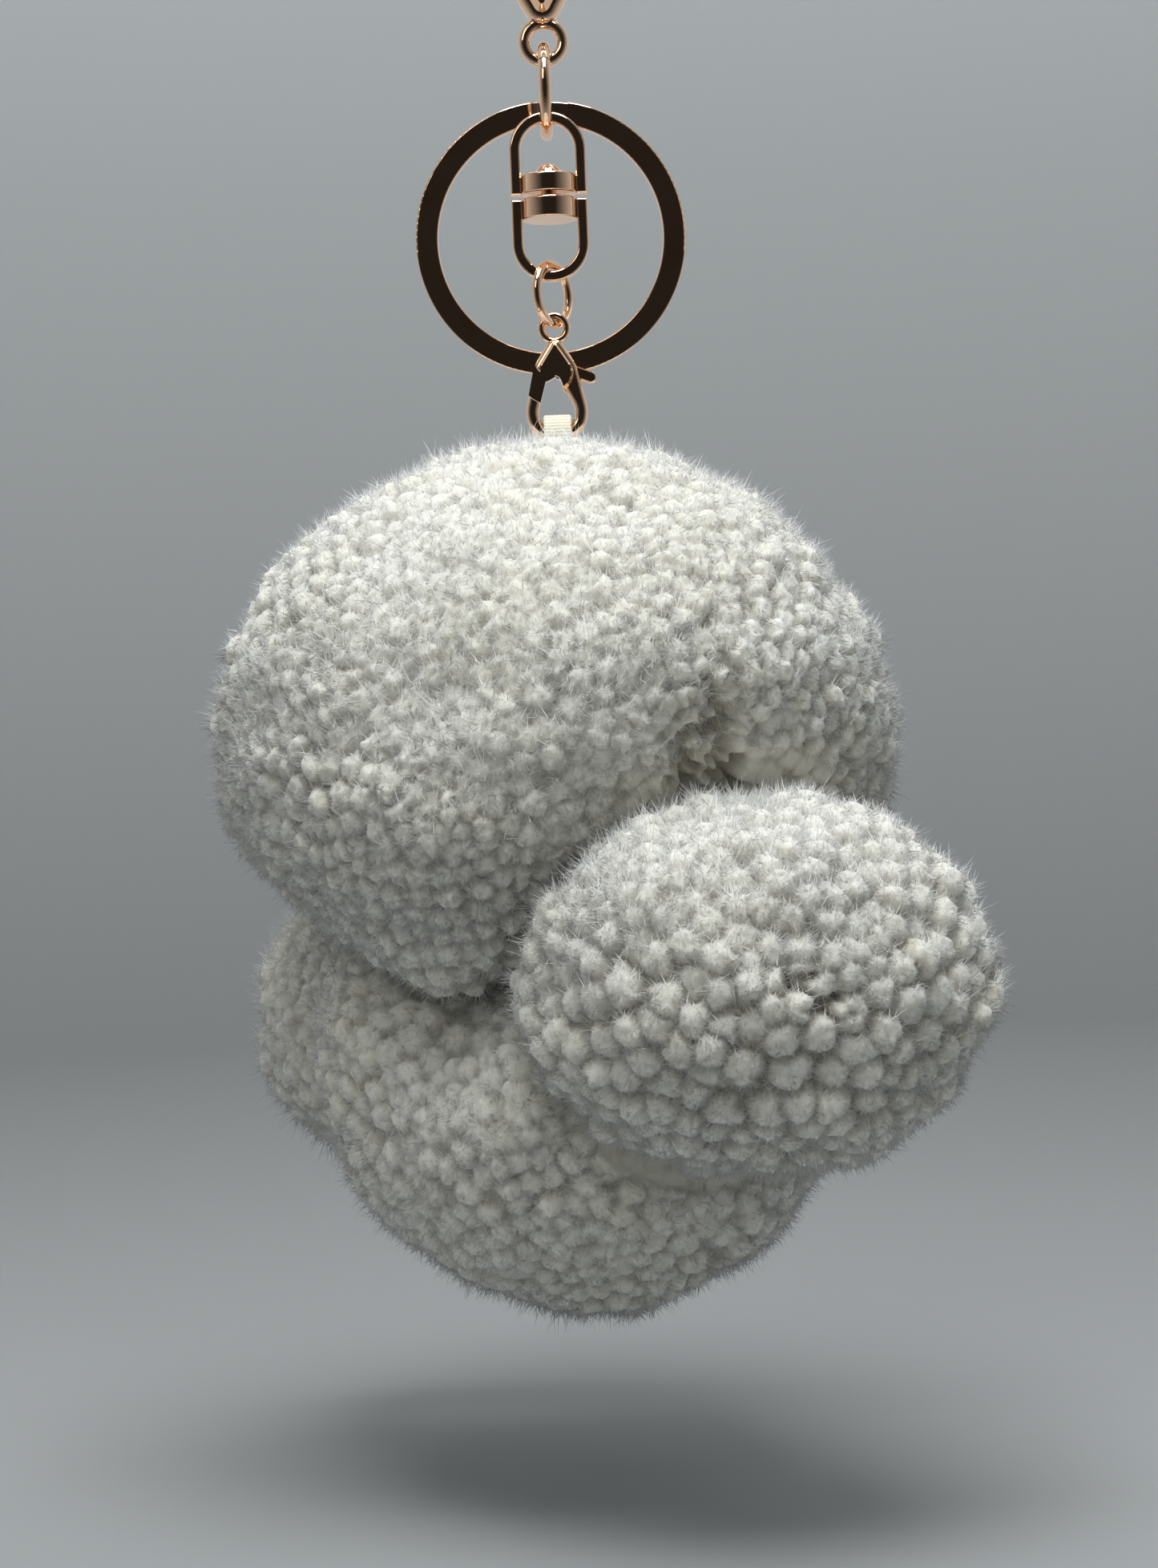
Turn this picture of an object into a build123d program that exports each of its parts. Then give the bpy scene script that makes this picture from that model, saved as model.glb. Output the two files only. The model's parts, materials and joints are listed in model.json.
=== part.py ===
from build123d import *
from dataclasses import dataclass
from math import atan2, cos, degrees, hypot, pi, radians, sin, sqrt
import os

# A plush keychain: a cluster of trimmed yarn pompoms that hangs by an elastic
# loop from a small lobster clasp, under a swivel and a split ring, all carried
# by a jump ring on a large lobster clasp. Millimetres, +Z up, hanging at rest.
# The origin is the centre of the large clasp's hook opening.

os.makedirs("parts", exist_ok=True)

# ---- fits and clearances ----
running_gap = 0.05  # radial, a pin in what turns on it
touch_gap = 0.03  # between links that hang in one another
gate_gap = 0.10  # round a clasp's gate
yarn_gap = 0.15  # from a pompom to its seam plane, its tie or its threads


@dataclass
class ClaspSizes:
    """A lobster clasp that hangs from its eye: drops are measured down from the eye's centre."""

    reach: float  # eye centre to the end of the hook
    width: float  # across the hook
    bar: float  # the hook's bar
    eye_hole: float
    eye_wire: float
    neck_width: float
    neck_drop: float
    shoulder_width: float
    shoulder_drop: float
    body_thick: float  # at the pivot
    tip_thick: float  # at the end of the hook
    edge_round: float
    facet: float  # how much narrower the thick middle is at its front face
    facet_inset: float  # and where it leaves the bar
    throat_width: float  # the narrow end of the opening, under the pivot
    throat_drop: float
    pivot_drop: float
    pin_dia: float
    hub_dia: float
    gate_thick: float
    nose_drop: float  # where the gate's nose meets the hook
    tab_dia: float
    tab_drop: float
    tab_stand: float  # how far the tab's centre stands out of the hook's width
    spring_wire: float


big_clasp = ClaspSizes(
    reach=29.2, width=15.0, bar=3.0, eye_hole=2.85, eye_wire=1.38,
    neck_width=4.0, neck_drop=3.9,
    shoulder_width=11.0, shoulder_drop=11.2, body_thick=5.4, tip_thick=3.2, edge_round=1.1,
    facet=3.2, facet_inset=0.2,
    throat_width=4.0, throat_drop=14.6, pivot_drop=9.4, pin_dia=2.0, hub_dia=5.0,
    gate_thick=2.0, nose_drop=17.4, tab_dia=2.4, tab_drop=12.6, tab_stand=1.0, spring_wire=0.4,
)
small_clasp = ClaspSizes(
    reach=12.7, width=6.8, bar=1.4, eye_hole=2.0, eye_wire=0.8,
    neck_width=1.9, neck_drop=2.25,
    shoulder_width=5.0, shoulder_drop=5.1, body_thick=3.0, tip_thick=1.9, edge_round=0.6,
    facet=1.5, facet_inset=0.1,
    throat_width=1.8, throat_drop=6.3, pivot_drop=4.1, pin_dia=0.9, hub_dia=2.3,
    gate_thick=1.1, nose_drop=7.8, tab_dia=1.25, tab_drop=5.6, tab_stand=0.45, spring_wire=0.2,
)

# ---- what both clasps share ----
gate_swing = 20  # degrees
slot_spare = 1  # degrees that the tab's slot goes past the swing
mouth_rise = 0.3  # how far the gate's side is cut away above the pivot, of the hub's radius
throat_shift = 1 / 6  # of the throat's width, towards the gate's arm
gate_edge = 1 / 3  # of the throat's width, from the middle to where the gate's side begins
tab_bevel = 0.12  # of the gate's thickness
pin_inset = 0.05  # each end of the pin, below the body's face
spring_turns = 1.5
spring_pitch_wires = 1.15  # in wire diameters
coil_over_pin = 3.0  # the coil's centre line past the pin, in wire diameters
spring_leg_hubs = 0.6  # in hub diameters

# ---- jump rings ----
top_link_dia = 10.7
top_link_wire = 1.35
bottom_link_dia = 7.5
bottom_link_wire = 1.0
bottom_link_yaw = 58  # degrees between its plane and the clasps' plane
link_slit = 0.12  # the closed joint in a jump ring

# ---- split ring ----
ring_dia = 30.0
ring_band = 2.5  # radial width of the flat wire
ring_wire_thick = 0.95
coil_gap = 0.04
ring_edge = 0.2
ring_lean = 8  # degrees, its foot leans back behind the clasp
ring_end_angle = 9.5  # from the top to the cut end of the front coil
jog_start = -10  # the wire steps from the front coil to the back coil
jog_end = 6
jog_gap = 0.5  # degrees of air where the back coil ends beside the step
jog_sections = 5
ring_back_reach = 0.85  # the leaning ring's back edge where it hangs, in wire thicknesses

# ---- swivel ----
shackle_width = 8.4
shackle_height = 9.1
shackle_strip = 1.2  # seen from the front
shackle_depth = 1.3
shackle_edge = 0.3
drum_bite = 0.1  # how far a drum reaches into each leg of its arch
drum_dia = shackle_width - 2 * shackle_strip + 2 * drum_bite
drum_edge = 0.25
upper_drum_height = 2.1
lower_drum_height = 2.3
drum_gap = 0.5
rivet_dia = 1.8
rivet_head_dia = 3.1
rivet_head_height = 1.3

# ---- where the pieces sit from front to back ----
swivel_y = -0.8  # the swivel and all that hangs from it
ring_y = 1.2  # the split ring where it hangs

# ---- hanging loop ----
loop_width = 3.0
loop_thick = 0.8
loop_inner = 3.3  # across its two legs, inside

# ---- pompoms: place relative to the chain, half sizes ----
tie_ring_dia = 10.0  # centre line of the cord round each pompom's waist
tie_cord_dia = 1.8
thread_dia = 1.4
crown_clear = 1.5  # the loop's pivot to the top of the crown
crown_radius = 36.5
crown_depth_radius = 34.0
crown_rise = 32.6
crown_fall = 25.0
crown_shift = -1.3
side_radius = 24.3
side_depth_radius = 21.0
side_half_height = 19.0
front_pompom_shift = (17.6, -24.0)
rear_pompom_shift = (-13.0, 24.0)
front_pompom_drop = 25.0  # below the crown's centre
rear_pompom_drop = 30.0
bottom_radius = 29.0
bottom_depth_radius = 28.0
bottom_half_height = 28.6
bottom_shift = 0.9
bottom_pompom_drop = 32.8


def disc(x, z, diameter):
    return Pos(x, z) * Circle(diameter / 2)


def wrap(*discs):
    """The outline that a tight band round some discs would take."""
    return make_hull([edge for each in discs for edge in each.edges()])


def slab(outline, thick):
    """A plate of the outline, standing in the XZ plane and centred on y = 0."""
    return extrude(Plane.XZ * outline, amount=thick / 2, both=True)


def gate_shapes(c, grow=0.0):
    """The discs that the gate is drawn from: its hub, the root of its arm and its tab."""
    hub = disc(0, -c.pivot_drop, c.hub_dia + 2 * grow)
    root_drop = (c.pivot_drop + c.throat_drop) / 2
    root = disc(-c.shoulder_width / 2 + c.bar, -root_drop, c.bar + 2 * grow)
    tab = disc(c.width / 2 + c.tab_stand, -c.tab_drop, c.tab_dia + 2 * grow)
    return hub, root, tab


def turned(shape, c, degrees):
    """A flat shape turned about the clasp's pivot, anticlockwise from the front."""
    place = Pos(0, -c.pivot_drop)
    return place * Rot(0, 0, degrees) * place.inverse() * shape


def throat_disc(c, grow=0.0):
    return disc(-c.throat_width * throat_shift, -c.throat_drop, c.throat_width + grow)


def clasp_outline(c):
    neck = disc(0, -c.neck_drop, c.neck_width)
    shoulder = disc(0, -c.shoulder_drop, c.shoulder_width)
    bow = disc(0, -(c.reach - c.width / 2), c.width)
    return wrap(neck, shoulder, bow)


def clasp_opening(c):
    throat = throat_disc(c)
    bow = disc(0, -(c.reach - c.width / 2), c.width - 2 * c.bar)
    return wrap(throat, bow)


def mouth(c, inset):
    """The side of the clasp that the gate closes, left of the throat and down to the nose."""
    left = -c.width
    top = -(c.pivot_drop - c.hub_dia / 2 * mouth_rise) - inset
    inner = -c.throat_width * gate_edge
    corner = (-c.shoulder_width / 2, top)
    side = Polygon(
        (inner, -c.throat_drop - inset), corner, (left, top), (left, -c.reach), (inner, -c.reach),
        align=None,
    )
    nose_x = c.width / 2 - c.bar / 2
    nose_radius = sqrt(nose_x**2 + (c.nose_drop - c.pivot_drop) ** 2) - inset
    return side & disc(0, -c.pivot_drop, 2 * nose_radius)


def rims(plate):
    """The edges of a standing plate's front and back faces."""
    faces = plate.faces().sort_by(Axis.Y)
    return faces[0].edges() + faces[-1].edges()


def clasp_body(c):
    bar = slab(clasp_outline(c) - clasp_opening(c), c.tip_thick)
    bar = fillet(rims(bar), c.edge_round)
    throat = throat_disc(c, c.facet_inset)
    end = disc(0, -c.reach, c.shoulder_width)
    levels = []
    for level, inset in ((0, c.facet_inset), (c.body_thick / 2, c.facet_inset + c.facet)):
        neck = disc(0, -c.neck_drop, c.neck_width - inset)
        shoulder = disc(0, -c.shoulder_drop, c.shoulder_width - inset)
        levels.append(Plane.XZ.offset(level) * wrap(neck, shoulder))
    front = loft(levels, ruled=True)
    boss = front + Rot(0, 0, 180) * front
    boss -= slab(wrap(throat, end), 2 * c.body_thick)
    body = bar + boss
    ring = Rot(90, 0, 0) * Torus((c.eye_hole + c.eye_wire) / 2, c.eye_wire / 2)
    body += ring
    body -= slab(mouth(c, 0), 2 * c.body_thick)
    # the gate's slot covers its whole swing
    hub, root, tab = gate_shapes(c, gate_gap)
    slot = wrap(hub, root, turned(root, c, gate_swing))
    slot += wrap(disc(0, -c.pivot_drop, c.tab_dia), tab, turned(tab, c, gate_swing + slot_spare))
    body -= slab(slot, c.gate_thick + 2 * gate_gap)
    body -= slab(disc(0, -c.pivot_drop, c.pin_dia), 2 * c.body_thick)
    return body - spring_pocket(c)


def spring_pitch(c):
    return spring_pitch_wires * c.spring_wire


def coil_dia(c):
    return c.pin_dia + coil_over_pin * c.spring_wire


def spring_leg(c):
    return spring_leg_hubs * c.hub_dia


def spring_room(c):
    """Front to back gap at each end of the coil, with what a leg drifts along its slope."""
    return spring_leg(c) * spring_pitch(c) / (pi * coil_dia(c)) + running_gap


def spring_span(c):
    return spring_turns * spring_pitch(c) + c.spring_wire


def spring_lean(c):
    """The legs point down along the arm of the tab, in degrees below level."""
    return degrees(atan2(c.tab_drop - c.pivot_drop, c.width / 2 + c.tab_stand))


def spring_pocket(c):
    room = coil_dia(c) + c.spring_wire + 2 * gate_gap
    far = spring_leg(c) * cos(radians(spring_lean(c)))
    drop = c.pivot_drop + spring_leg(c) * sin(radians(spring_lean(c)))
    outline = wrap(disc(0, -c.pivot_drop, room), disc(far, -drop, room))
    depth = spring_span(c) + 2 * spring_room(c)
    behind = Pos(0, c.gate_thick / 2 + gate_gap + depth / 2, 0)
    return behind * slab(outline, depth)


def clasp_spring(c):
    """A coil and a half of wire round the pin, with both legs along the tab's arm."""
    path = Edge.make_helix(spring_pitch(c), spring_pitch(c) * spring_turns, coil_dia(c) / 2)
    section = Plane(path @ 0, z_dir=path % 0) * Circle(c.spring_wire / 2)
    coil = sweep(section, path=path, is_frenet=True)
    legs = [extrude(end, amount=spring_leg(c)) for end in coil.faces().filter_by(GeomType.PLANE)]
    spring = coil + legs
    front = c.gate_thick / 2 + gate_gap + spring_room(c) + c.spring_wire / 2
    lie_down = Rot(0, spring_lean(c), 0) * Rot(-90, 0, 0) * Rot(0, 0, 90)
    return Pos(0, front, -c.pivot_drop) * lie_down * spring


def clasp_gate(c):
    hub, root, tab = gate_shapes(c)
    rim = clasp_outline(c) - clasp_opening(c)
    outline = (rim & mouth(c, gate_gap)) + wrap(hub, root)
    outline += wrap(disc(0, -c.pivot_drop, c.tab_dia), tab)
    outline -= disc(0, -c.pivot_drop, c.pin_dia + 2 * running_gap)
    gate = slab(outline, c.gate_thick)
    return chamfer(gate.edges().filter_by(GeomType.CIRCLE).filter_by(
        lambda e: abs(e.radius - c.tab_dia / 2) < 1e-3), c.gate_thick * tab_bevel)


def clasp_pin(c):
    return Pos(0, 0, -c.pivot_drop) * Rot(90, 0, 0) * Cylinder(c.pin_dia / 2, c.body_thick - 2 * pin_inset)


def jump_ring(diameter, wire, joint_angle):
    """A closed wire ring in the XZ plane; its joint is joint_angle round from the right."""
    radius = (diameter - wire) / 2
    slit = link_slit / radius * 180 / pi
    section = Plane.XY * Pos(radius, 0) * Circle(wire / 2)
    ring = revolve(section, axis=Axis.Y, revolution_arc=360 - slit)
    return Rot(0, -joint_angle, 0) * ring


def ring_section(angle, y):
    """The flat wire's cross-section, angle round from the top, clockwise from the front."""
    middle = (ring_dia - ring_band) / 2
    strip = RectangleRounded(ring_band, ring_wire_thick, ring_edge)
    upright = Plane.YZ * (Rot(0, 0, 90) * strip)
    return Rot(0, angle, 0) * (Pos(0, y, middle) * upright)


def split_ring():
    """Two coils of flat wire: a front one, a short step back, and a back one."""
    front = -(ring_wire_thick + coil_gap) / 2
    turn = jog_end - jog_start
    coil = revolve(ring_section(ring_end_angle, front), axis=Axis.Y,
                   revolution_arc=360 + jog_start - ring_end_angle)
    coil += revolve(ring_section(jog_end, -front), axis=Axis.Y, revolution_arc=360 - turn - jog_gap)
    sections = []
    for i in range(jog_sections):
        part = i / (jog_sections - 1)
        eased = part * part * (3 - 2 * part)
        sections.append(ring_section(jog_start + turn * part, front - 2 * front * eased))
    return coil + loft(sections)


def shackle(drum_height, bore):
    """An arch of strip over a drum; its top outside edge is at z = 0 and it stands downwards."""
    radius = shackle_width / 2
    inner = radius - shackle_strip
    arch = disc(0, -radius, 2 * radius) + Pos(0, -(radius + shackle_height) / 2) * Rectangle(
        shackle_width, shackle_height - radius)
    hole = disc(0, -radius, 2 * inner) + Pos(0, -radius - shackle_height / 2) * Rectangle(
        2 * inner, shackle_height)
    strip = slab(arch - hole, shackle_depth)
    strip = fillet(strip.edges().filter_by(Axis.Y, reverse=True), shackle_edge)
    drum = Pos(0, 0, drum_height / 2 - shackle_height) * Cylinder(drum_dia / 2, drum_height)
    drum = fillet(drum.edges().filter_by(GeomType.CIRCLE), drum_edge)
    pin_hole = Pos(0, 0, -shackle_height) * Cylinder(bore / 2, 4 * drum_height)
    return strip + drum - pin_hole


def swivel_rivet(upper_drum, lower_drum):
    """Fixed in the lower drum, free in the upper one, with a domed head on top."""
    length = upper_drum + drum_gap + lower_drum + touch_gap
    shank = Pos(0, 0, -length / 2) * Cylinder(rivet_dia / 2, length)
    r, h = rivet_head_dia / 2, rivet_head_height
    ball = (r * r + h * h) / (2 * h)
    dome = (Pos(0, 0, h - ball) * Sphere(ball)) & (Pos(0, 0, h / 2) * Cylinder(r, h))
    return shank + dome


# ---- heights down the chain ----
def hang(hole_radius, far_y, link_z):
    """The lowest that a piece can sit inside a hanging round link, when it reaches far_y sideways."""
    room = hole_radius - touch_gap
    return link_z - sqrt(room**2 - far_y**2)


big_opening_top = big_clasp.throat_drop - big_clasp.throat_width / 2
big_opening_end = big_clasp.reach - big_clasp.bar
eye_z = -(big_opening_top + big_opening_end) / 2
eye_seat = eye_z - big_clasp.eye_hole / 2 - big_clasp.eye_wire / 2  # the eye's lowest wire
top_link_radius = (top_link_dia - top_link_wire) / 2
link_rise = (big_clasp.eye_wire + top_link_wire) / 2 + touch_gap
top_link_z = eye_seat + link_rise - top_link_radius
top_link_seat = top_link_z - top_link_radius  # its lowest wire
top_hole = top_link_radius - top_link_wire / 2

shackle_front = abs(swivel_y) + shackle_depth / 2
arch_z = hang(top_hole, shackle_front, top_link_z) + shackle_strip
upper_drum_foot = arch_z - shackle_height
lower_drum_top = upper_drum_foot - drum_gap
lower_arch_z = lower_drum_top - shackle_height
lower_wire_z = lower_arch_z + shackle_strip / 2

ring_back = ring_y + ring_wire_thick * ring_back_reach
ring_hang_z = hang(top_hole, ring_back, top_link_z)
ring_drop = ring_dia / 2 - ring_band
rivet_z = upper_drum_foot + upper_drum_height + touch_gap

bottom_link_radius = (bottom_link_dia - bottom_link_wire) / 2
# the strip's corners need this much room when the link swings round them
strip_corner = hypot(shackle_strip, shackle_depth) / 2 - shackle_edge * (sqrt(2) - 1)
bottom_link_z = (lower_wire_z + strip_corner + bottom_link_wire / 2 + touch_gap
                 - bottom_link_radius)
bottom_link_seat = bottom_link_z - bottom_link_radius
small_eye_radius = (small_clasp.eye_hole + small_clasp.eye_wire) / 2
small_eye_z = (bottom_link_seat + (bottom_link_wire + small_clasp.eye_wire) / 2 + touch_gap
               - small_eye_radius)
hook_wire_z = small_eye_z - small_clasp.reach + small_clasp.bar / 2

crown_z = hook_wire_z - crown_clear - crown_rise
front_z = crown_z - front_pompom_drop
rear_z = crown_z - rear_pompom_drop
bottom_z = crown_z - bottom_pompom_drop
tie_reach = (tie_ring_dia + tie_cord_dia) / 2


def half_ellipsoid(across, deep, high):
    """The upper half of an ellipsoid, flat face down."""
    quarter = Plane.XZ * (Ellipse(across, abs(high)) & Pos(across, high) * Rectangle(
        2 * across, 2 * abs(high)))
    return scale(revolve(quarter, axis=Axis.Z), by=(1, deep / across, 1))


def pompom_solid(size):
    across, deep, rise, fall = size
    return half_ellipsoid(across, deep, rise) + half_ellipsoid(across, deep, -fall)


pompoms = {
    "crown_pompom": (Vector(crown_shift, swivel_y, crown_z),
                     (crown_radius, crown_depth_radius, crown_rise, crown_fall)),
    "front_pompom": (Vector(front_pompom_shift[0], swivel_y + front_pompom_shift[1], front_z),
                     (side_radius, side_depth_radius, side_half_height, side_half_height)),
    "rear_pompom": (Vector(rear_pompom_shift[0], swivel_y + rear_pompom_shift[1], rear_z),
                    (side_radius, side_depth_radius, side_half_height, side_half_height)),
    "bottom_pompom": (Vector(bottom_shift, swivel_y, bottom_z),
                      (bottom_radius, bottom_depth_radius, bottom_half_height, bottom_half_height)),
}


def radius_towards(size, way):
    across, deep, rise, fall = size
    high = rise if way.Z > 0 else fall
    return 1 / sqrt((way.X / across) ** 2 + (way.Y / deep) ** 2 + (way.Z / high) ** 2)


def beyond_seam(name, other):
    """All that lies past the flat seam where two pompoms press together."""
    centre, size = pompoms[name]
    far, far_size = pompoms[other]
    way = (far - centre).normalized()
    share = radius_towards(size, way) / (radius_towards(size, way) + radius_towards(far_size, way * -1))
    seam = centre + (far - centre) * share - way * yarn_gap
    reach = 4 * crown_radius
    return Plane(seam, z_dir=way) * Pos(0, 0, reach / 2) * Box(reach, reach, reach)


def tie_ring(centre, cord):
    return Pos(*centre) * Rot(90, 0, 0) * Torus(tie_ring_dia / 2, cord / 2)


def rod(start, end, diameter, longer=0.0):
    """A straight round piece from start to end, and longer past each."""
    way = end - start
    middle = Plane(start, z_dir=way) * Pos(0, 0, way.length / 2)
    return middle * Cylinder(diameter / 2, way.length + 2 * longer)


def strap(top, foot, grow=0.0):
    """The elastic loop: a flat band over the clasp's hook and under the crown's tie."""
    outer = loop_inner + 2 * loop_thick
    inner = loop_inner - 2 * grow
    band = wrap(disc(0, top, outer + 2 * grow), disc(0, foot, outer + 2 * grow))
    band -= wrap(disc(0, top, inner), disc(0, foot, inner))
    return Pos(0, swivel_y, 0) * extrude(Plane.YZ * band, amount=loop_width / 2 + grow, both=True)


crown_centre = pompoms["crown_pompom"][0]
strap_foot = crown_centre.Z + tie_ring_dia / 2
strap_tie = Vector(0, swivel_y, crown_centre.Z)

ties = {name: Vector(*place) for name, (place, size) in pompoms.items()}
ties["crown_pompom"] = strap_tie
threads = []
for name, place in ties.items():
    if name != "crown_pompom":
        way = (place - strap_tie).normalized()
        threads.append((strap_tie + way * (tie_reach + yarn_gap), place - way * (tie_reach + yarn_gap)))

# ---- every piece ----
put_big = Pos(0, 0, eye_z) * Rot(0, 180, 0)
put_small = Pos(0, swivel_y, small_eye_z)
pieces = {}
for prefix, sizes, put in (("upper", big_clasp, put_big), ("lower", small_clasp, put_small)):
    pieces[f"{prefix}_clasp_body"] = put * clasp_body(sizes)
    pieces[f"{prefix}_clasp_gate"] = put * clasp_gate(sizes)
    pieces[f"{prefix}_clasp_pin"] = put * clasp_pin(sizes)
    pieces[f"{prefix}_clasp_spring"] = put * clasp_spring(sizes)

pieces["top_jump_ring"] = Pos(0, 0, top_link_z) * Rot(0, 0, 90) * jump_ring(
    top_link_dia, top_link_wire, 150)
pieces["bottom_jump_ring"] = Pos(0, swivel_y, bottom_link_z) * Rot(0, 0, bottom_link_yaw) * jump_ring(
    bottom_link_dia, bottom_link_wire, 215)
pieces["split_ring"] = (Pos(0, ring_y, ring_hang_z) * Rot(ring_lean, 0, 0)
                        * Pos(0, 0, -ring_drop) * split_ring())
pieces["swivel_upper_shackle"] = Pos(0, swivel_y, arch_z) * shackle(
    upper_drum_height, rivet_dia + 2 * running_gap)
pieces["swivel_lower_shackle"] = (Pos(0, swivel_y, lower_arch_z) * Rot(180, 0, 0)
                                  * shackle(lower_drum_height, rivet_dia))
pieces["swivel_rivet"] = Pos(0, swivel_y, rivet_z) * swivel_rivet(upper_drum_height, lower_drum_height)
pieces["hanging_loop"] = strap(hook_wire_z, strap_foot)

inner_room = strap(hook_wire_z, strap_foot, grow=yarn_gap)
for place in ties.values():
    inner_room += tie_ring(place, tie_cord_dia + 2 * yarn_gap)
for start, end in threads:
    inner_room += rod(start, end, thread_dia + 2 * yarn_gap, longer=tie_cord_dia / 2)
for name, (centre, size) in pompoms.items():
    yarn = Pos(*centre) * pompom_solid(size)
    for other in pompoms:
        if other != name:
            yarn -= beyond_seam(name, other)
    pieces[name] = yarn - inner_room
    pieces[name.replace("pompom", "tie_cord")] = tie_ring(ties[name], tie_cord_dia)
pieces["joining_threads"] = Compound([rod(start, end, thread_dia) for start, end in threads])

for name, piece in pieces.items():
    export_step(piece, f"parts/{name}.step")
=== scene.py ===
# %% [markdown]
# # A plush keychain
# The real thing is a cluster of four trimmed yarn pompoms. It hangs by a cream
# elastic loop from a small lobster clasp, and above that come a jump ring, a
# swivel, a flat split ring, a second jump ring and a large lobster clasp, all
# plated in rose gold.
#
# The metal comes from the CAD model, whose shapes are already right, and needs
# only a finish. The yarn and the elastic are soft, so their plain CAD solids are
# replaced here by modelled pieces that fill the same space.

# %% Load the fixed frame
import json
import math

import bpy
import numpy as np
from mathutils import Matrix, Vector
from mathutils.kdtree import KDTree


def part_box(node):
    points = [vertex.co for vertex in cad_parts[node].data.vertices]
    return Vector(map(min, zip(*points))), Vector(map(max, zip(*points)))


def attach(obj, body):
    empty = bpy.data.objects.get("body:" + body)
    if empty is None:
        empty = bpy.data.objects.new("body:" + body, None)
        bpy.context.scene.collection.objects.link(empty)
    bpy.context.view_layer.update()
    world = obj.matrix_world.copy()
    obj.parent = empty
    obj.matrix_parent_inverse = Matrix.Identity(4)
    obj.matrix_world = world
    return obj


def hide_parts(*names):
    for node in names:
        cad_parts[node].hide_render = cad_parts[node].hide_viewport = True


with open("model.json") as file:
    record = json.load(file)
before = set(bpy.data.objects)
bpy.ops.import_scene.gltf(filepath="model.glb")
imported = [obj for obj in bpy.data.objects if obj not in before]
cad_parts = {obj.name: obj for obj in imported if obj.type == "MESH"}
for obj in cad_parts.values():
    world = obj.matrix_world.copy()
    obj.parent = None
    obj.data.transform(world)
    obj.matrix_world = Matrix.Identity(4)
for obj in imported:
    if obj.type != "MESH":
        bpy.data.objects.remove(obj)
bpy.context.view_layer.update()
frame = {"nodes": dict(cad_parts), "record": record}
MM = 0.001

# %% [markdown]
# ## The camera
# The keychain is seen from straight in front, a little over 30 cm away, at the
# height of the plush, and the camera is rolled by about two degrees. A lens of
# 68 mm on a 36 mm sensor keeps the true proportions at that distance.

# %% Place the camera
lens_length = 68.06
sensor_width = 36
nearest_seen, farthest_seen = 0.01, 20
eye_across, eye_back, eye_height = 0.87, -327, -101.3
level_view = math.radians(90)
camera_roll = math.radians(2.15)
camera_data = bpy.data.cameras.new("camera")
camera_data.lens = lens_length
camera_data.sensor_width = sensor_width
camera_data.clip_start = nearest_seen
camera_data.clip_end = farthest_seen
camera = bpy.data.objects.new("camera", camera_data)
bpy.context.collection.objects.link(camera)
camera.location = (eye_across * MM, eye_back * MM, eye_height * MM)
camera.rotation_euler = (level_view, camera_roll, 0)
bpy.context.scene.camera = camera
print("the camera looks along +Y from", [round(v, 3) for v in camera.location])

# %% [markdown]
# ## Small helpers
# Every operator in Blender acts on what is selected, and the CAD pieces arrive
# selected, so the first helper clears the selection. The next two write and
# read a mesh as arrays of numbers, which is far quicker than handling points
# one at a time when there are many thousands of yarn ends.

# %% Helpers for selecting, and for meshes as arrays
def deselect_all():
    if bpy.context.mode != "OBJECT":
        bpy.ops.object.mode_set(mode="OBJECT")
    bpy.ops.object.select_all(action="DESELECT")


def mesh_from_arrays(name, points, triangles):
    mesh = bpy.data.meshes.new(name)
    mesh.vertices.add(len(points))
    mesh.vertices.foreach_set("co", np.asarray(points, np.float32).ravel())
    mesh.loops.add(3 * len(triangles))
    mesh.loops.foreach_set("vertex_index", np.asarray(triangles, np.int32).ravel())
    mesh.polygons.add(len(triangles))
    starts = np.arange(0, 3 * len(triangles), 3, dtype=np.int32)
    mesh.polygons.foreach_set("loop_start", starts)
    mesh.update(calc_edges=True)
    mesh.validate()
    piece = bpy.data.objects.new(name, mesh)
    bpy.context.collection.objects.link(piece)
    return piece


def read_vectors(source, quality):
    """One row of three numbers for each point, such as its place or its normal."""
    flat = np.empty(len(source) * 3, np.float32)
    source.foreach_get(quality, flat)
    return flat.reshape(-1, 3).astype(float)


def middle(node):
    low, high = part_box(node)
    return np.array([(a + b) / 2 for a, b in zip(low, high)]) / MM


print("the crown's cord is at", np.round(middle("crown_tie_cord"), 1), "mm")

# %% [markdown]
# ## Helpers for finishes
# A finish is a small network of nodes that ends in a shader. The same few
# things are done for every one: start a material, add a node and set its
# sockets, and choose the two colours at the ends of a ramp.

# %% Helpers for building a finish out of nodes
def new_material(name):
    """A material with nothing in it but its shader, and a way to add nodes."""
    material = bpy.data.materials.new(name)
    material.use_nodes = True
    return material, material.node_tree.nodes, material.node_tree.links


def set_sockets(node, values):
    for socket, value in values.items():
        node.inputs[socket].default_value = value


def add_node(nodes, kind, values):
    node = nodes.new("ShaderNode" + kind)
    set_sockets(node, values)
    return node


def add_ramp(nodes, *ends):
    """A colour ramp between two (position, red, green, blue) ends."""
    ramp = nodes.new("ShaderNodeValToRGB")
    for stop, (position, *colour) in zip(ramp.color_ramp.elements, ends):
        stop.position = position
        stop.color = (*colour, 1)
    return ramp


print("helpers ready")

# %% [markdown]
# ## Where the pompoms are
# A pompom is made by winding yarn, tying it round the waist and trimming the
# cut ends to a ball. Each one here is an egg shape round its tie cord, and the
# CAD model knows where every tie cord is, so the places come from there. The
# crown is wider and flatter below, where the others press against it.

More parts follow.
